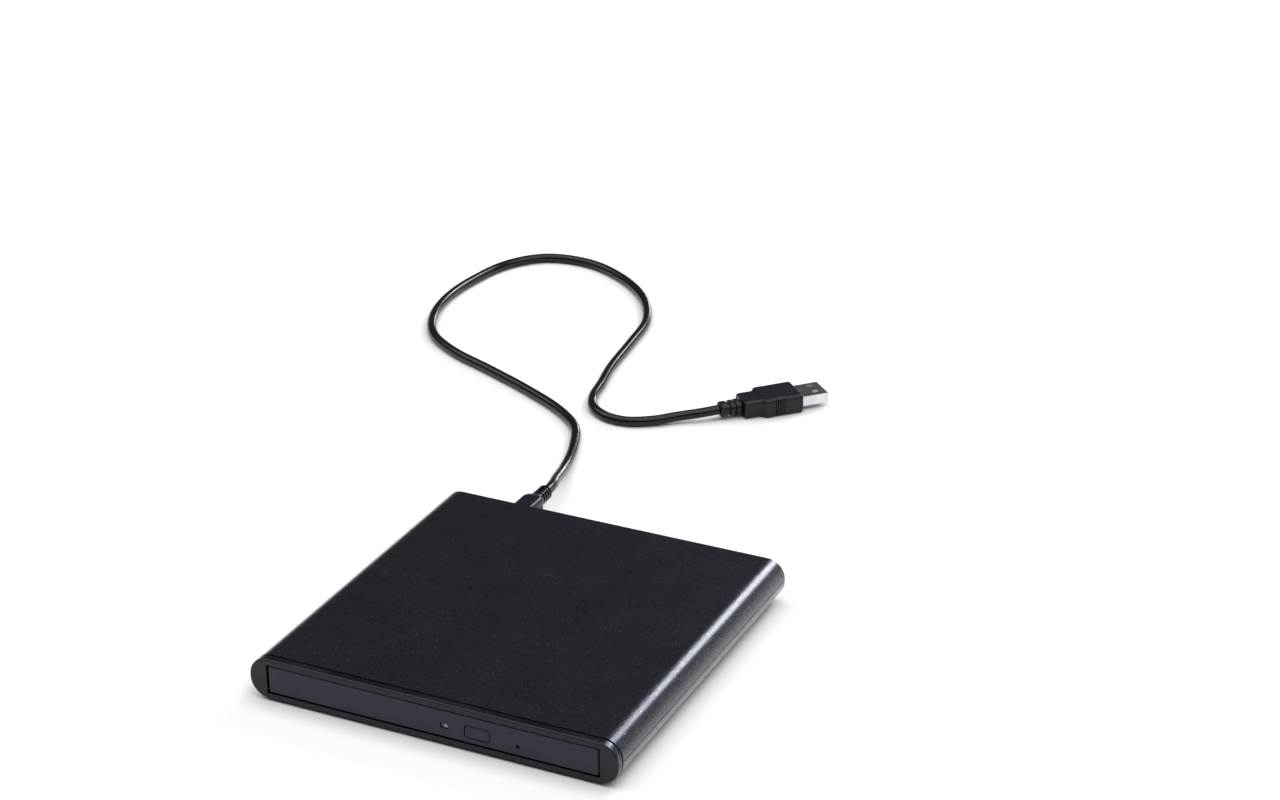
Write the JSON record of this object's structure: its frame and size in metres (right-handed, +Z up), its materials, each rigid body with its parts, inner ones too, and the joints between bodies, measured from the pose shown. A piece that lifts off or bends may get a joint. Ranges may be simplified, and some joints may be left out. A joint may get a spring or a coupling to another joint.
{
  "type": "external optical disc drive",
  "caption": "Slim external optical disc drive with a pull-out disc tray on telescoping rails, a pickup mechanism on the tray and a detachable USB lead.",
  "frame": {"origin": "On the surface that the drive stands on, under the middle of its case", "axes": "+Z up; the tray opens towards -Y; +X is to the right seen from the front"},
  "size_m": [0.2532, 0.4053, 0.0166],
  "materials": {
    "case_paint": "satin paint with fine metal flake",
    "frame_paint": "satin paint with fine metal flake",
    "bezel_plastic": "finely sparked, half matt",
    "black_plastic": "satin",
    "grey_plastic": "satin",
    "white_plastic": "semi-gloss",
    "foot_rubber": "matt",
    "cord_pvc": "semi-gloss PVC",
    "zinc_steel": "galvanised sheet",
    "bright_steel": "polished",
    "brass": "wound copper and brass",
    "board": "solder mask",
    "flex_film": "polyimide film",
    "chip_epoxy": "moulded",
    "lens": "clear, coated"
  },
  "bodies": {
    "enclosure": {"top_cover": "case_paint", "bottom_cover": "case_paint", "front_frame": "frame_paint", "rear_panel": "black_plastic", "foot_front_left": "foot_rubber", "foot_rear_left": "foot_rubber", "foot_front_right": "foot_rubber", "foot_rear_right": "foot_rubber", "case_screw_front_left": "zinc_steel", "case_screw_rear_left": "zinc_steel", "case_screw_front_right": "zinc_steel", "case_screw_rear_right": "zinc_steel", "bridge_board": "board", "usb_socket": "bright_steel", "sata_receptacle": "black_plastic", "bridge_chip": "chip_epoxy", "clock_crystal": "bright_steel", "board_capacitor": "zinc_steel", "drive_chassis": "zinc_steel", "drive_cover": "zinc_steel", "rail_guide_left": "white_plastic", "rail_guide_right": "white_plastic", "connector_board": "board", "drive_connector": "black_plastic", "ejector_housing": "black_plastic", "lock_pin": "bright_steel", "flex_lower": "flex_film"},
    "tray": {"tray": "black_plastic", "tray_bezel": "bezel_plastic", "led_window": "white_plastic", "traverse_frame": "zinc_steel", "traverse_cover": "black_plastic", "guide_rod_outer": "bright_steel", "guide_rod_inner": "bright_steel", "spindle_motor": "zinc_steel", "sled_motor": "zinc_steel", "tray_board": "board", "latch_solenoid": "brass", "flex_upper": "flex_film"},
    "rail_left": {"slide_rail_left": "bright_steel"},
    "rail_right": {"slide_rail_right": "bright_steel"},
    "flex_loop": {"flex_bend": "flex_film"},
    "ejector": {"ejector_plunger": "white_plastic"},
    "eject_button": {"eject_button": "bezel_plastic"},
    "spindle": {"turntable": "grey_plastic"},
    "ball_1": {"chuck_ball_1": "bright_steel"},
    "ball_2": {"chuck_ball_2": "bright_steel"},
    "ball_3": {"chuck_ball_3": "bright_steel"},
    "pickup": {"pickup_sled": "grey_plastic"},
    "lens": {"lens_holder": "black_plastic", "objective_lens": "lens"},
    "lead_screw": {"lead_screw": "bright_steel"},
    "latch": {"latch_lever": "bright_steel"},
    "usb_lead": {"usb_mini_plug": "black_plastic", "usb_mini_tip": "bright_steel", "usb_cord": "cord_pvc", "usb_a_plug": "black_plastic", "usb_a_shell": "bright_steel", "usb_a_tongue": "white_plastic"}
  },
  "joints": [
    {"name": "tray_slide", "type": "slide", "parent": "enclosure", "child": "tray", "axis": [0, -1, 0], "range_m": [0, 0.126]},
    {"name": "rail_left_slide", "type": "slide", "parent": "enclosure", "child": "rail_left", "axis": [0, -1, 0], "range_m": [0, 0.063]},
    {"name": "rail_right_slide", "type": "slide", "parent": "enclosure", "child": "rail_right", "axis": [0, -1, 0], "range_m": [0, 0.063]},
    {"name": "flex_loop_slide", "type": "slide", "parent": "enclosure", "child": "flex_loop", "axis": [0, -1, 0], "range_m": [0, 0.063]},
    {"name": "ejector_slide", "type": "slide", "parent": "enclosure", "child": "ejector", "axis": [0, -1, 0], "range_m": [0, 0.005]},
    {"name": "eject_press", "type": "slide", "parent": "tray", "child": "eject_button", "axis": [0, 1, 0], "range_m": [0, 0.0006], "stiffness_N_per_m": 600, "springref_m": -0.0006},
    {"name": "spindle_spin", "type": "hinge", "parent": "tray", "child": "spindle", "pos_m": [0, -0.0065, 0.009], "axis": [0, 0, 1], "continuous": true},
    {"name": "ball_1_press", "type": "slide", "parent": "spindle", "child": "ball_1", "axis": [0, -1, 0], "range_m": [0, 0.0005], "stiffness_N_per_m": 150, "springref_m": -0.0004},
    {"name": "ball_2_press", "type": "slide", "parent": "spindle", "child": "ball_2", "axis": [0.866, 0.5, 0], "range_m": [0, 0.0005], "stiffness_N_per_m": 150, "springref_m": -0.0004},
    {"name": "ball_3_press", "type": "slide", "parent": "spindle", "child": "ball_3", "axis": [-0.866, 0.5, 0], "range_m": [0, 0.0005], "stiffness_N_per_m": 150, "springref_m": -0.0004},
    {"name": "pickup_slide", "type": "slide", "parent": "tray", "child": "pickup", "axis": [-0.7071, -0.7071, 0], "range_m": [0, 0.032]},
    {"name": "lens_focus", "type": "slide", "parent": "pickup", "child": "lens", "axis": [0, 0, 1], "range_m": [-0.0003, 0.0003], "stiffness_N_per_m": 40},
    {"name": "lead_screw_spin", "type": "hinge", "parent": "tray", "child": "lead_screw", "pos_m": [-0.01768, -0.04539, 0.00695], "axis": [-0.7071, -0.7071, 0], "continuous": true},
    {"name": "latch_swing", "type": "hinge", "parent": "tray", "child": "latch", "pos_m": [0.042, -0.05, 0.006], "axis": [0, 0, -1], "range_deg": [0, 14], "stiffness_Nm_per_rad": 0.002, "springref_deg": -8.59},
    {"name": "usb_unplug", "type": "slide", "parent": "enclosure", "child": "usb_lead", "axis": [0, 1, 0], "range_m": [0, 0.009]}
  ],
  "couplings": [
    {"joint": "rail_left_slide", "follows": "tray_slide", "ratio": 0.5},
    {"joint": "rail_right_slide", "follows": "tray_slide", "ratio": 0.5},
    {"joint": "flex_loop_slide", "follows": "tray_slide", "ratio": 0.5},
    {"joint": "ejector_slide", "follows": "tray_slide", "ratio": 0.039},
    {"joint": "lead_screw_spin", "follows": "pickup_slide", "rad_per_m": 2094.4}
  ]
}
